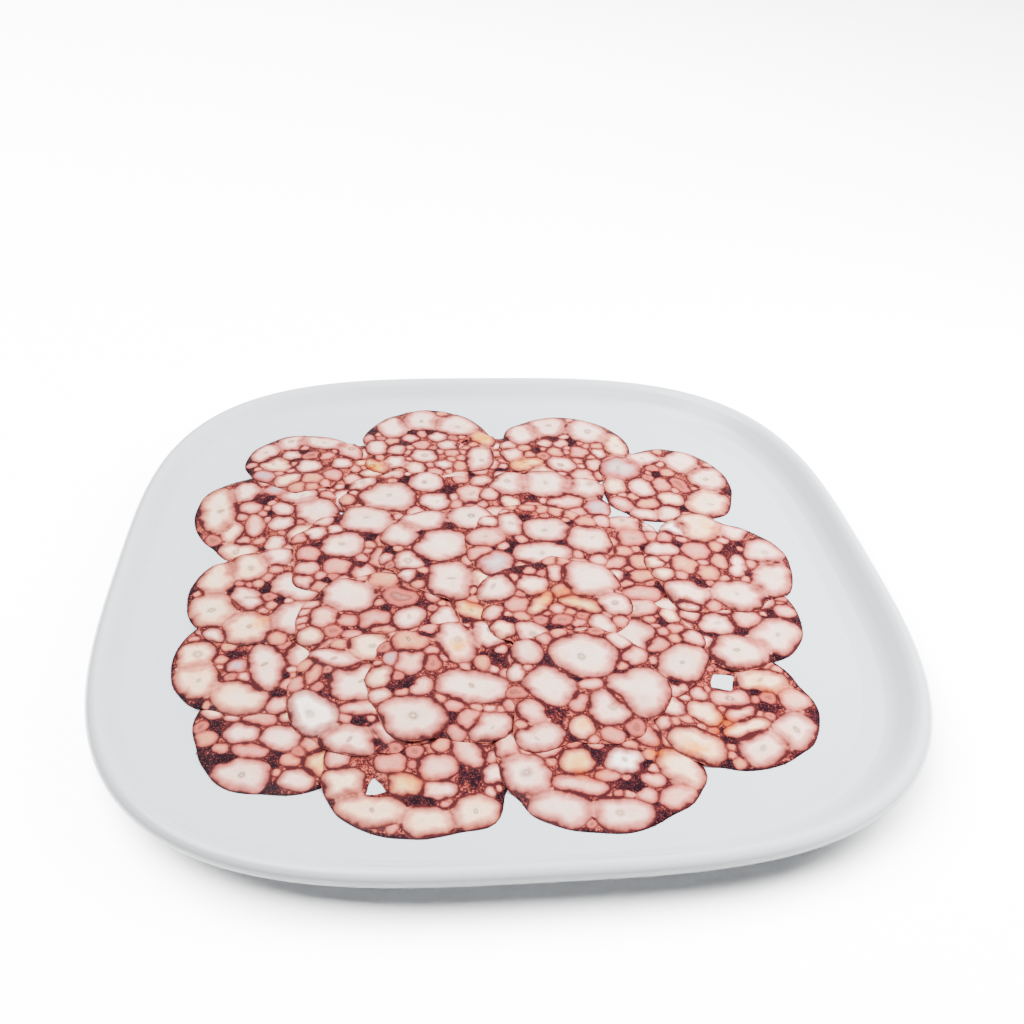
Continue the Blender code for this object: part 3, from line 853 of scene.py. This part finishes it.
def makeCut(number, spec):
    rng = np.random.default_rng(100 + number)
    sections = [section[:5] for section in spec["sections"]]
    toneNames = [section[5] if len(section) > 5 else "pale" for section in spec["sections"]]
    centre, rim = rimTable(spec, f"slice_{number:02d}", np.array(sections, float), rng)
    cut = {"centre": centre, "rim": rim, "half": rim.max()}
    cut["dark"] = spec.get("dark", ())
    cut["amber"] = spec.get("amber", ())
    cut["bare"] = bareTable(cut)
    inside = rimDepth(np.array(sections, float)[:, :2], cut) > 1.2
    sections = [section for section, kept in zip(sections, inside) if kept]
    toneNames = [tone for tone, kept in zip(toneNames, inside) if kept]
    holes = spec.get("holes", ())
    rooms = [hole[:5] for hole in holes]
    addFillers(sections, toneNames, rooms, cut, rng)
    known = np.array(sections + rooms, float).reshape(-1, 5)
    own = known[: len(sections)]
    reach = growSections(known, len(sections), cut, rng)
    slope = (np.roll(reach, -1, 1) - np.roll(reach, 1, 1)) / (2 * math.tau / flesh["directions"])
    size = np.sqrt(own[:, 2] * own[:, 3])
    out = np.hypot(*(own[:, :2] - centre).T) / rim.mean()
    cut["centres"] = own[:, :2]
    cut["reach"] = reach
    cut["lean"] = soften(reach / np.hypot(reach, slope), 2)
    cut["rim"] = hugSections(cut)
    cut["arch"] = (out > flesh["arch"][0]) & (size > flesh["arch"][1])
    cut["size"] = size
    # a grey-brown mark of the nerve in most large sections, some of them slits
    least, share = flesh["nerve"]
    marked = (size > least) & (rng.uniform(0, 1, len(size)) < share)
    cut["nerve"] = np.where(marked, rng.uniform(0.6, 1.0, len(size)), 0.0)
    cut["nerveTurn"] = rng.uniform(0, math.pi, len(size))
    cut["nerveHalf"] = np.column_stack((rng.uniform(0.8, 1.5, len(size)), rng.uniform(0.4, 1.2, len(size))))
    cut["nervePlace"] = cut["centres"] + rng.uniform(-0.12, 0.12, (len(size), 2)) * size[:, None]
    cut["tones"] = np.array([linear(tones[name])[:3] for name in toneNames])
    cut["tones"] *= rng.uniform(0.94, 1.05, (len(sections), 1))
    cut["holes"] = []
    for x, y, length, width, turn, corners in holes:
        along = np.cos(angles - math.radians(turn)) / length
        across = np.sin(angles - math.radians(turn)) / width
        side = math.tau / corners
        bend = np.cos(np.arctan2(across, along) % side - side / 2)
        edge = (0.9 * math.cos(side / 2) / bend + 0.1) / np.hypot(along, across)
        edge *= 0.95 + 0.05 * np.sin(3 * angles + x)
        cut["holes"].append(evenLoop(np.array((x, y)), edge, flesh["outlineSpacing"]))
    return cut


def insideLoop(points, loop):
    x, y = points[:, 0, None], points[:, 1, None]
    (x0, y0), (x1, y1) = loop.T, np.roll(loop, -1, axis=0).T
    crosses = (y0 > y) != (y1 > y)
    with np.errstate(divide="ignore", invalid="ignore"):
        meets = x0 + (y - y0) * (x1 - x0) / (y1 - y0)
    return (crosses & (x < meets)).sum(axis=1) % 2 == 1


# a jittered grid over the slice
def scatter(cut, spacing, rng):
    low, high = cut["centre"] - cut["half"], cut["centre"] + cut["half"]
    x, y = np.meshgrid(np.arange(low[0], high[0], spacing), np.arange(low[1], high[1], spacing * 0.87))
    x = x + (np.arange(x.shape[0]) % 2)[:, None] * spacing / 2
    points = np.column_stack((x.ravel(), y.ravel()))
    return points + rng.uniform(-0.18, 0.18, points.shape) * spacing


# triangles over the points, with the loops as edges, inside the first loop and outside the others
def fillLoops(loops, others, keepOut):
    points = np.vstack([*loops, *others])
    edges, start = [], 0
    for loop in loops:
        edges += [(start + i, start + (i + 1) % len(loop)) for i in range(len(loop))]
        start += len(loop)
    made = delaunay_2d_cdt([Vector(point) for point in points], edges, [], 0, 1e-7)
    spots = np.array([vertex[:] for vertex in made[0]])
    faces = np.array(made[2])
    middles = spots[faces].mean(axis=1)
    inside = insideLoop(middles, loops[0])
    for loop in keepOut:
        inside &= ~insideLoop(middles, loop)
    place = {}
    for index, origins in enumerate(made[3]):
        for origin in origins:
            place[origin] = index
    return spots, faces[inside], place


def smoothStep(value, low, high):
    part = np.clip((value - low) / (high - low), 0, 1)
    return part * part * (3 - 2 * part)


# cheap seamless noise between -1 and 1, from crossed sines
def grain(points, size, seed):
    rng = np.random.default_rng(seed)
    total = np.zeros(len(points))
    for _ in range(5):
        turn, phase = rng.uniform(0, math.tau, 2)
        wave = math.tau / (size * rng.uniform(0.7, 1.4))
        total += np.sin((points[:, 0] * math.cos(turn) + points[:, 1] * math.sin(turn)) * wave + phase)
    return total / 3


# everything the finish needs to know at each point
def readCut(points, cut, number):
    depth = depths(points, cut)
    order = np.argsort(-depth, axis=1)[:, :2]
    rows = np.arange(len(points))
    first, second = order[:, 0], order[:, 1]
    best, runner = depth[rows, first], depth[rows, second]
    rimward = rimDepth(points, cut)
    bothArch = cut["arch"][first] & cut["arch"][second]
    closed = smoothStep(-runner, 1.3, 2.6)
    skin = np.where(bothArch & (rimward > 1.6), 0.12 + 0.88 * closed, 1.0)
    # the skin of the small sections is thin and pale
    skin = skin * (0.4 + 0.6 * smoothStep(cut["size"][first], 1.5, 5.0))
    small, base, large, most = flesh["blush"]
    blushWidth = np.minimum(small * cut["size"][first], np.minimum(base + large * cut["size"][first], most))
    fused = bothArch & (best < 0) & (runner > -1.2) & (rimward > 1.6)
    edge = np.where(fused, 0.4, np.minimum(best, (best - runner) / 2))
    darkness, variation, length = flesh["dark"]
    dark = darkness + variation * grain(points, length, 7 * number)
    for x, y, reach in cut["dark"]:
        dark += flesh["darkClump"] * np.exp(-(np.hypot(points[:, 0] - x, points[:, 1] - y) / reach) ** 2)
    away = points - cut["centre"]
    outward = readTurn(cut["bare"], np.arctan2(away[:, 1], away[:, 0]))
    overPlate, everywhere = flesh["darkRim"]
    dark += (overPlate * outward + everywhere) * (1 - smoothStep(rimward, 0.35, 1.1))
    amber = np.zeros(len(points))
    for x, y, reach in cut["amber"]:
        amber += np.exp(-(np.hypot(points[:, 0] - x, points[:, 1] - y) / reach) ** 2)
    # one tone runs into the next where two sections have grown together
    other = 0.5 * smoothStep(runner, -1.5, -0.2) * (1 - smoothStep(best - runner, 0.0, 2.5))
    tone = cut["tones"][first] * (1 - other)[:, None] + cut["tones"][second] * other[:, None]
    away = points - cut["nervePlace"][first]
    turn, half = cut["nerveTurn"][first], cut["nerveHalf"][first]
    along = (away[:, 0] * np.cos(turn) + away[:, 1] * np.sin(turn)) / half[:, 0]
    across = (away[:, 1] * np.cos(turn) - away[:, 0] * np.sin(turn)) / (half[:, 0] * half[:, 1])
    nerve = np.where(best > -0.2, cut["nerve"][first], 0.0)
    brink = rimward
    for loop in cut["holes"]:
        away = np.hypot(*(points[:, None] - loop[None]).transpose(2, 0, 1))
        brink = np.minimum(brink, away.min(axis=1))
    return {
        "edge": edge,
        "blush": edge / blushWidth,
        "skin": skin,
        "dark": np.clip(dark, 0, 1.4),
        "amber": np.clip(amber, 0, 1),
        "tone": tone,
        "nerve": np.column_stack((along, across, nerve)),
        "brink": brink,
    }


# height above the draped sheet, from domes in the sections and hollows in the jelly
def relief(points, read, number):
    dome = flesh["dome"] * smoothStep(read["edge"], -0.1, 2.4)
    uneven = 0.6 + 0.4 * grain(points, 3.2, number)
    valley = -flesh["valley"] * smoothStep(-read["edge"], 0.0, 0.9) * uneven
    thin, within = flesh["rimTaper"]
    taper = (thin - flesh["thickness"]) * (1 - np.clip(read["brink"] / within, 0, 1) ** 0.75)
    wave = 0.03 * grain(points, 11, number + 50)
    return dome + valley * np.clip(read["brink"] - 0.5, 0, 1) + taper + wave


# the height map that the slices are laid on
reachOfMap = math.ceil(plate["half"])
mapLine = np.arange(-reachOfMap, reachOfMap + 1) * flesh["mapSpacing"]
mapX, mapY = np.meshgrid(mapLine, mapLine)
bareGround = plateTop(mapX, mapY)
ground = bareGround.copy()


def laySheet(cut):
    points = np.column_stack((mapX.ravel(), mapY.ravel()))
    inner = rimDepth(points, cut).reshape(mapX.shape)
    rows = np.flatnonzero((inner > -3).any(axis=1))
    columns = np.flatnonzero((inner > -3).any(axis=0))
    window = np.s_[rows[0] : rows[-1] + 1, columns[0] : columns[-1] + 1]
    under, inner = ground[window], inner[window]
    sheet = (inner > -1.6).astype(float)
    need = under + flesh["air"]
    height = need.copy()
    for _ in range(flesh["drapeRounds"]):
        total, weight = np.zeros_like(height), np.zeros_like(height)
        for move in ((0, 1), (0, -1), (1, 0), (-1, 0), (0, 0)):
            total += np.roll(height * sheet, move, (0, 1))
            weight += np.roll(sheet, move, (0, 1))
        height = np.where(weight > 0, np.maximum(need * sheet, total / np.maximum(weight, 1)), need)
    # the wet rim clings to what lies under it
    height = need + (height - need) * smoothStep(inner, 0.0, flesh["cling"])
    ground[window] = np.where(inner > -0.9, height + flesh["thickness"] + flesh["dome"] + 0.04, under)
    return height, mapLine[columns[0]], mapLine[rows[0]]


def readHeight(points, laid):
    height, left, front = laid
    column = np.clip((points[:, 0] - left) / flesh["mapSpacing"], 0, height.shape[1] - 1.001)
    row = np.clip((points[:, 1] - front) / flesh["mapSpacing"], 0, height.shape[0] - 1.001)
    i, j = column.astype(int), row.astype(int)
    a, b = column - i, row - j
    lower = height[j, i] * (1 - a) + height[j, i + 1] * a
    upper = height[j + 1, i] * (1 - a) + height[j + 1, i + 1] * a
    return lower * (1 - b) + upper * b


def writeAttributes(mesh, read):
    for name in ("edge", "blush", "skin", "dark", "amber"):
        values = read[name].astype(np.float32)
        mesh.attributes.new(name, "FLOAT", "POINT").data.foreach_set("value", values)
    for name in ("tone", "nerve"):
        values = read[name].astype(np.float32).ravel()
        mesh.attributes.new(name, "FLOAT_VECTOR", "POINT").data.foreach_set("vector", values)


# curled bits of dark skin caught in the jelly: many where it is dark and none on the flesh
skinBits = {
    "perSquareMetre": 1.3e6,
    "length": 0.6,
    "shortest": (0.5, 0.3, 0.2),  # length, width and height, as shares of the length
    "longest": (1.7, 0.8, 0.45),
    "tilt": 0.4,  # radians
}


def makeBitsTree():
    inputs = (("Bits per m2", "Float"), ("Length", "Float"), ("Seed", "Int"), ("Finish", "Material"))
    tree, given, out = newTree("skinBits", inputs)
    dark = addNode(tree, "GeometryNodeInputNamedAttribute", {"Name": "dark"}, data_type="FLOAT")
    edge = addNode(tree, "GeometryNodeInputNamedAttribute", {"Name": "edge"}, data_type="FLOAT")
    facing = addNode(tree, "ShaderNodeSeparateXYZ", {0: addNode(tree, "GeometryNodeInputNormal")})
    shares = []
    for value, start, end in ((dark, 0.4, 0.9), (edge, -0.15, -0.5), (facing.outputs["Z"], 0.5, 0.8)):
        values = {"Value": value, "From Min": start, "From Max": end}
        shares.append(addNode(tree, "ShaderNodeMapRange", values))
    both = addNode(tree, "ShaderNodeMath", {0: shares[0], 1: shares[1]}, operation="MULTIPLY")
    upper = addNode(tree, "ShaderNodeMath", {0: both, 1: shares[2]}, operation="MULTIPLY")
    density = addNode(tree, "ShaderNodeMath", {0: upper, 1: given["Bits per m2"]}, operation="MULTIPLY")
    values = {"Mesh": given["Geometry"], "Density": density, "Seed": given["Seed"]}
    points = addNode(tree, "GeometryNodeDistributePointsOnFaces", values, distribute_method="RANDOM")
    blob = addNode(tree, "GeometryNodeMeshIcoSphere", {"Radius": 0.5, "Subdivisions": 2})
    smooth = addNode(tree, "GeometryNodeSetShadeSmooth", {"Geometry": blob})
    values = {0: skinBits["shortest"], 1: skinBits["longest"], "Seed": 3}
    shape = addNode(tree, "FunctionNodeRandomValue", values, data_type="FLOAT_VECTOR")
    sized = addNode(tree, "ShaderNodeVectorMath", {0: shape, "Scale": given["Length"]}, operation="SCALE")
    tilt = skinBits["tilt"]
    values = {0: (-tilt, -tilt, 0.0), 1: (tilt, tilt, 6.28), "Seed": 4}
    turn = addNode(tree, "FunctionNodeRandomValue", values, data_type="FLOAT_VECTOR")
    values = {"Points": points.outputs["Points"], "Instance": smooth, "Rotation": turn, "Scale": sized}
    laid = addNode(tree, "GeometryNodeInstanceOnPoints", values)
    real = addNode(tree, "GeometryNodeRealizeInstances", {"Geometry": laid})
    dressed = addNode(tree, "GeometryNodeSetMaterial", {"Geometry": real, "Material": given["Finish"]})
    joined = addNode(tree, "GeometryNodeJoinGeometry", {"Geometry": dressed})
    tree.links.new(given["Geometry"], joined.inputs["Geometry"])
    tree.links.new(joined.outputs[0], out["Geometry"])
    return tree


def makeSlice(number, spec, material):
    rng = np.random.default_rng(500 + number)
    cut = makeCut(number, spec)
    rim = evenLoop(cut["centre"], cut["rim"], 0.9)
    lip = evenLoop(cut["centre"], cut["rim"] - 0.3, 0.9)
    outlines, rings = [], [lip]
    for i, centre in enumerate(cut["centres"]):
        reach = cut["reach"][i]
        outlines.append(evenLoop(centre, reach, flesh["outlineSpacing"]))
        step = 1 / np.maximum(cut["lean"][i], 0.62)
        for inset, spacing in flesh["rings"]:
            inner = reach - inset * step
            if inner.min() < 0.35 * inset:
                break
            rings.append(evenLoop(centre, soften(inner, 2), spacing, 5))
    meat = scatter(cut, flesh["cutSpacing"], rng)
    rings.append(meat[depths(meat, cut).max(axis=1) > 0.6])
    holes = [loop[::-1] for loop in cut["holes"]]
    loose = scatter(cut, flesh["jellySpacing"], rng)
    loose = loose[(rimDepth(loose, cut) > 0.55) & (depths(loose, cut).max(axis=1) < -0.3)]
    for hole in holes:
        loose = loose[~insideLoop(loose, hole)]
    topSpots, topFaces, topPlace = fillLoops([rim, *holes, *outlines], [*rings, loose], holes)
    coarse = scatter(cut, flesh["undersideSpacing"], rng)
    coarse = coarse[rimDepth(coarse, cut) > 1.5]
    for hole in holes:
        coarse = coarse[~insideLoop(coarse, hole)]
    lowSpots, lowFaces, lowPlace = fillLoops([rim, *holes], [coarse], holes)

    laid = laySheet(cut)
    spots = np.vstack((topSpots, lowSpots))
    read = readCut(spots, cut, number)
    z = readHeight(spots, laid)
    count = len(topSpots)
    topRead = {key: value[:count] for key, value in read.items()}
    z[:count] += flesh["thickness"] + relief(topSpots, topRead, number)
    walls, start = [], 0
    for loop in (rim, *holes):
        for i in range(len(loop)):
            a, b = start + i, start + (i + 1) % len(loop)
            walls.append((lowPlace[a] + count, lowPlace[b] + count, topPlace[b], topPlace[a]))
        start += len(loop)
    faces = topFaces.tolist() + (lowFaces[:, ::-1] + count).tolist() + walls
    mesh = bpy.data.meshes.new(f"octopus_{number:02d}")
    mesh.from_pydata(np.column_stack((spots, z)) * mm, [], faces)
    writeAttributes(mesh, read)
    mesh.shade_smooth()
    mesh.set_sharp_from_angle(angle=math.radians(50))
    mesh.materials.append(material)
    values = {"Bits per m2": skinBits["perSquareMetre"], "Length": skinBits["length"] * mm}
    values |= {"Seed": number, "Finish": skinMaterial}
    withBits = runTree(bitsTree, mesh, mesh.name, values)
    piece = bpy.data.objects.new(mesh.name, withBits)
    bpy.context.scene.collection.objects.link(piece)
    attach(piece, "root")
    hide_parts(f"slice_{number:02d}")
    return piece


# boiled and pressed octopus arm, cut thin while set in its own jelly: pale springy flesh that
# lets light in, a red blush towards the skin, a fine dark skin line and red-brown jelly between
def makeFlesh():
    material, tree, shader = newMaterial("pressedOctopus")
    where = addNode(tree, "ShaderNodeTexCoord").outputs["Object"]
    given = {}
    for name in ("edge", "blush", "skin", "dark", "amber"):
        given[name] = addNode(tree, "ShaderNodeAttribute", attribute_name=name).outputs["Fac"]
    tone = addNode(tree, "ShaderNodeAttribute", attribute_name="tone").outputs["Vector"]
    nerve = addNode(tree, "ShaderNodeAttribute", attribute_name="nerve").outputs["Vector"]

    # the blush and the skin line wander by patches of three sizes, in millimetres
    noises = []
    for size, detail, rough in ((9.091, 2, 0.5), (2.381, 3, 0.5), (0.6667, 3, 0.6)):
        values = {"Vector": where, "Scale": patchScale(size), "Detail": detail, "Roughness": rough}
        noises.append(addNode(tree, "ShaderNodeTexNoise", values))
    broad, wander, fine = noises
    shift = addNode(tree, "ShaderNodeMath", {0: wander, 1: 0.6, 2: -0.3}, operation="MULTIPLY_ADD")
    shifted = addNode(tree, "ShaderNodeMath", {0: given["edge"], 1: shift}, operation="ADD")
    # where two outer sections touch, the skin is weak and only a blush is left
    quiet = addNode(tree, "ShaderNodeMath", {0: 1.0, 1: given["skin"]}, operation="SUBTRACT")
    patch = addNode(tree, "ShaderNodeMath", {0: broad, 1: 1.1, 2: -0.55}, operation="MULTIPLY_ADD")
    streak = addNode(tree, "ShaderNodeMath", {0: wander, 1: 0.55, 2: -0.27}, operation="MULTIPLY_ADD")
    lift = addNode(tree, "ShaderNodeMath", {0: quiet, 1: 0.3, 2: patch}, operation="MULTIPLY_ADD")
    drift = addNode(tree, "ShaderNodeMath", {0: lift, 1: streak}, operation="ADD")
    blushed = addNode(tree, "ShaderNodeMath", {0: given["blush"], 1: drift}, operation="ADD")
    ramps = {}
    for name, source, stops in (
        ("flesh", blushed, (
            (0.0, "#3c1719", 1.0), (0.07, "#5c2523", 0.99), (0.18, "#7d3630", 0.95), (0.4, "#9c4840", 0.86),
            (0.7, "#b45950", 0.6), (1.0, "#c26d62", 0.0),
        )),
        ("jelly", None, (
            (0.0, "#9a4d3f", 1.0), (0.2, "#712f27", 1.0), (0.42, "#4a1c1d", 1.0), (0.66, "#2d1319", 1.0),
            (0.9, "#190910", 1.0),
        )),
    ):
        ramps[name] = addNode(tree, "ShaderNodeValToRGB", {0: source} if source else None)
        elements = ramps[name].color_ramp.elements
        for place, *_ in stops[2:]:
            elements.new(place)
        for element, (place, shade, cover) in zip(elements, stops):
            element.position = place
            element.color = (*linear(shade)[:3], cover)

    values = {"Value": broad, "From Min": 0.38, "From Max": 0.6, "To Min": 0.15}
    wash = addNode(tree, "ShaderNodeMapRange", values)
    tint = addNode(tree, "ShaderNodeMath", {0: given["amber"], 1: wash}, operation="MULTIPLY")
    spot = addNode(tree, "ShaderNodeSeparateXYZ", {0: nerve})
    flat = addNode(tree, "ShaderNodeCombineXYZ", {0: spot.outputs["X"], 1: spot.outputs["Y"]})
    off = addNode(tree, "ShaderNodeVectorMath", {0: flat}, operation="LENGTH").outputs["Value"]
    unevenOff = addNode(tree, "ShaderNodeMath", {0: wander, 1: 1.4, 2: off}, operation="MULTIPLY_ADD")
    line = addNode(tree, "ShaderNodeMath", {0: shifted, 1: 0.05}, operation="ADD")
    lineOff = addNode(tree, "ShaderNodeMath", {0: line}, operation="ABSOLUTE")
    fades = {}
    for name, source, start, end, top in (
        ("middle", given["edge"], 8.0, 3.4, 0.5),
        ("mottle", broad, 0.7, 0.35, 0.45),
        ("milk", wander, 0.62, 0.42, 0.4),
        ("flecks", fine, 0.68, 0.45, 0.4),
        ("smudge", unevenOff, 1.3, 2.7, 0.85),
        ("core", unevenOff, 0.85, 1.35, 0.85),
        ("outside", given["edge"], -0.42, -0.05, 1.0),
        ("line", lineOff, 0.04, 0.3, 0.9),
    ):
        values = {"Value": source, "From Min": start, "From Max": end, "To Min": top, "To Max": 0.0}
        fades[name] = addNode(tree, "ShaderNodeMapRange", values, interpolation_type="SMOOTHSTEP")
    cord = addNode(tree, "ShaderNodeMath", {0: fades["smudge"], 1: spot.outputs["Z"]}, operation="MULTIPLY")
    heart = addNode(tree, "ShaderNodeMath", {0: fades["core"], 1: spot.outputs["Z"]}, operation="MULTIPLY")

    # jelly: clear orange-pink where it is thin, red-brown to purple-black where skin is caught in it
    values = {"Vector": where, "Scale": patchScale(1.3333)}
    curl = addNode(tree, "ShaderNodeTexVoronoi", values, feature="DISTANCE_TO_EDGE")
    values = {"Value": curl, "From Max": 0.35, "To Min": 0.24, "To Max": -0.16}
    curls = addNode(tree, "ShaderNodeMapRange", values)
    mixed = addNode(tree, "ShaderNodeMath", {0: wander, 1: 1.0, 2: -0.5}, operation="MULTIPLY_ADD")
    varied = addNode(tree, "ShaderNodeMath", {0: mixed, 1: patch}, operation="ADD")
    depth = addNode(tree, "ShaderNodeMath", {0: given["dark"], 1: varied}, operation="ADD")
    curled = addNode(tree, "ShaderNodeMath", {0: depth, 1: curls}, operation="ADD")
    specks = addNode(tree, "ShaderNodeMath", {0: fine, 1: 2.2, 2: -1.1}, operation="MULTIPLY_ADD")
    deep = addNode(tree, "ShaderNodeMath", {0: curled, 1: specks}, operation="ADD")
    tree.links.new(deep.outputs[0], ramps["jelly"].inputs[0])
    values = {"Value": wander, "From Min": 0.36, "From Max": 0.6, "To Min": 0.15}
    dash = addNode(tree, "ShaderNodeMapRange", values)
    strength = addNode(tree, "ShaderNodeMath", {0: given["skin"], 1: dash}, operation="MULTIPLY")
    lineHere = addNode(tree, "ShaderNodeMath", {0: fades["line"], 1: strength}, operation="MULTIPLY")
    colour = tone
    for factor, shade, blend in (
        (fades["middle"], "#d6cdc0", "MIX"),
        (fades["mottle"], "#f3d3c0", "MULTIPLY"),
        (fades["milk"], "#f2fbf8", "MULTIPLY"),
        (fades["flecks"], "#e0bfb0", "MULTIPLY"),
        (cord, "#80694f", "MULTIPLY"),
        (heart, "#cdb9a5", "MIX"),
        (ramps["flesh"].outputs["Alpha"], ramps["flesh"].outputs["Color"], "MIX"),
        (tint, "#f0c468", "MULTIPLY"),
        (fades["outside"], ramps["jelly"].outputs["Color"], "MIX"),
        (lineHere, "#351519", "MIX"),
    ):
        shade = linear(shade) if isinstance(shade, str) else shade
        values = {0: factor, 6: colour, 7: shade}
        colour = addNode(tree, "ShaderNodeMix", values, data_type="RGBA", blend_type=blend)
    tree.links.new(colour.outputs[2], shader.inputs["Base Color"])

    rough = addNode(tree, "ShaderNodeMapRange", {"Value": wander, "To Min": 0.4, "To Max": 0.6})
    tree.links.new(rough.outputs[0], shader.inputs["Roughness"])
    fibre = addNode(tree, "ShaderNodeMath", {0: fine, 1: 0.6, 2: wander}, operation="MULTIPLY_ADD")
    bump = addNode(tree, "ShaderNodeBump", {"Height": fibre, "Strength": 0.35, "Distance": 0.12 * mm})
    tree.links.new(bump.outputs[0], shader.inputs["Normal"])
    shader.inputs["IOR"].default_value = 1.38
    shader.inputs["Specular IOR Level"].default_value = 0.1
    shader.inputs["Subsurface Weight"].default_value = 0.15
    shader.inputs["Subsurface Radius"].default_value = (1.0, 0.45, 0.3)
    shader.inputs["Subsurface Scale"].default_value = 0.8 * mm
    return material


# skin and suckers boiled dark purple: a wet, half-clear skin with a soft shine
def makeSkin():
    material, tree, shader = newMaterial("boiledSkin")
    where = addNode(tree, "ShaderNodeTexCoord").outputs["Object"]
    values = {"Vector": where, "Scale": patchScale(1.4286), "Detail": 2.0}
    patch = addNode(tree, "ShaderNodeTexNoise", values)
    share = addNode(tree, "ShaderNodeMapRange", {"Value": patch, "From Min": 0.35, "From Max": 0.65})
    values = {0: share, 6: linear("#2c1117"), 7: linear("#642c26")}
    colour = addNode(tree, "ShaderNodeMix", values, data_type="RGBA")
    tree.links.new(colour.outputs[2], shader.inputs["Base Color"])
    shader.inputs["Roughness"].default_value = 0.42
    shader.inputs["Specular IOR Level"].default_value = 0.3
    shader.inputs["IOR"].default_value = 1.38
    return material


fleshMaterial = makeFlesh()
skinMaterial = makeSkin()
bitsTree = makeBitsTree()
for number, spec in enumerate(slices, 1):
    piece = makeSlice(number, spec, fleshMaterial)
    print(piece.name, len(piece.data.vertices), "points", len(piece.data.polygons), "faces")
print("slices ready")
